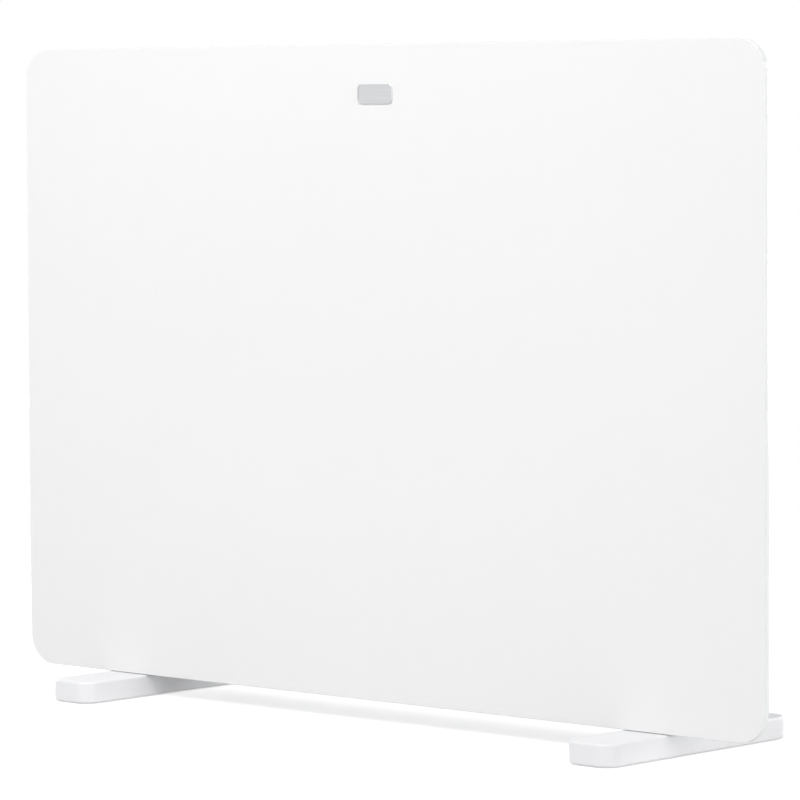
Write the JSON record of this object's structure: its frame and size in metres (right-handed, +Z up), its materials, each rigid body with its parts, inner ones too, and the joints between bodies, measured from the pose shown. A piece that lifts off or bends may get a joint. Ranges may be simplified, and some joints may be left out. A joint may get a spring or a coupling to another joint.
{
  "type": "convector heater",
  "caption": "Free-standing electric convector heater with a flat glass front, steel rear casing, outlet grille, side controls and two moulded feet.",
  "frame": {"origin": "on the floor, midway between the two feet and midway along their length", "axes": "+X to the right of someone facing the glass front, +Y to the back, +Z up; the glass front faces -Y"},
  "size_m": [0.684, 0.19, 0.4663],
  "materials": {
    "white_glass": "gloss, white on the back",
    "white_plastic": "satin moulded",
    "white_steel": "fine powder coat",
    "grey_plastic": "satin moulded",
    "dark_plastic": "satin moulded",
    "silicone": "matt",
    "rubber": "matt",
    "galvanised": "galvanised sheet",
    "aluminium": "extruded",
    "steel": "zinc plated",
    "ceramic": "unglazed",
    "amber_lens": "clear amber",
    "lead_sleeve": "woven glass sleeve"
  },
  "bodies": {
    "heater_body": {"front_glass": "white_glass", "bond_strip_top": "silicone", "bond_strip_bottom": "silicone", "bond_strip_left": "silicone", "bond_strip_right": "silicone", "front_carrier": "galvanised", "rear_casing": "white_steel", "outlet_grille": "white_plastic", "end_cap_left": "white_plastic", "end_cap_right": "white_plastic", "control_bulkhead": "galvanised", "rear_heat_shield": "galvanised", "front_heat_shield": "galvanised", "element_fins": "aluminium", "element_rod": "steel", "element_bracket_left": "galvanised", "element_bracket_right": "galvanised", "element_insulator_left": "ceramic", "element_insulator_right": "ceramic", "cutout_bracket": "galvanised", "thermal_cutout": "ceramic", "thermostat_body": "dark_plastic", "switch_housing_upper": "dark_plastic", "switch_housing_lower": "dark_plastic", "pilot_lamp": "amber_lens", "terminal_block": "ceramic", "cord_inlet_bush": "rubber", "tip_switch_housing": "dark_plastic", "tip_switch_cover": "dark_plastic", "tip_pivot_pin": "steel", "lead_live": "lead_sleeve", "lead_switched": "lead_sleeve", "lead_link": "lead_sleeve", "lead_thermostat": "lead_sleeve", "lead_cutout": "lead_sleeve", "lead_element": "lead_sleeve", "lead_neutral": "lead_sleeve", "foot_left": "white_plastic", "foot_right": "white_plastic", "foot_pad_left_front": "rubber", "foot_pad_left_rear": "rubber", "foot_pad_right_front": "rubber", "foot_pad_right_rear": "rubber", "foot_screw_left_front": "steel", "foot_screw_left_rear": "steel", "foot_screw_right_front": "steel", "foot_screw_right_rear": "steel", "cap_screw_left_lower": "steel", "cap_screw_left_upper": "steel", "cap_screw_right_lower": "steel", "cap_screw_right_upper": "steel", "carrier_screw_left": "steel", "carrier_screw_right": "steel"},
    "knob": {"control_knob": "grey_plastic", "thermostat_shaft": "steel"},
    "rocker_upper": {"switch_rocker_upper": "dark_plastic"},
    "rocker_lower": {"switch_rocker_lower": "dark_plastic"},
    "pendulum": {"tip_pendulum": "steel"}
  },
  "joints": [
    {"name": "knob_turn", "type": "hinge", "parent": "heater_body", "child": "knob", "pos_m": [0.2725, 0.00365, 0.3923], "axis": [1, 0, 0], "range_deg": [-135, 135]},
    {"name": "rocker_upper_tip", "type": "hinge", "parent": "heater_body", "child": "rocker_upper", "pos_m": [0.2695, 0.00365, 0.3403], "axis": [0, 1, 0], "range_deg": [0, 16]},
    {"name": "rocker_lower_tip", "type": "hinge", "parent": "heater_body", "child": "rocker_lower", "pos_m": [0.2695, 0.00365, 0.3123], "axis": [0, 1, 0], "range_deg": [0, 16]},
    {"name": "pendulum_swing", "type": "hinge", "parent": "heater_body", "child": "pendulum", "pos_m": [0.2138, 0.003, 0.2393], "axis": [1, 0, 0], "range_deg": [-25, 25]}
  ]
}
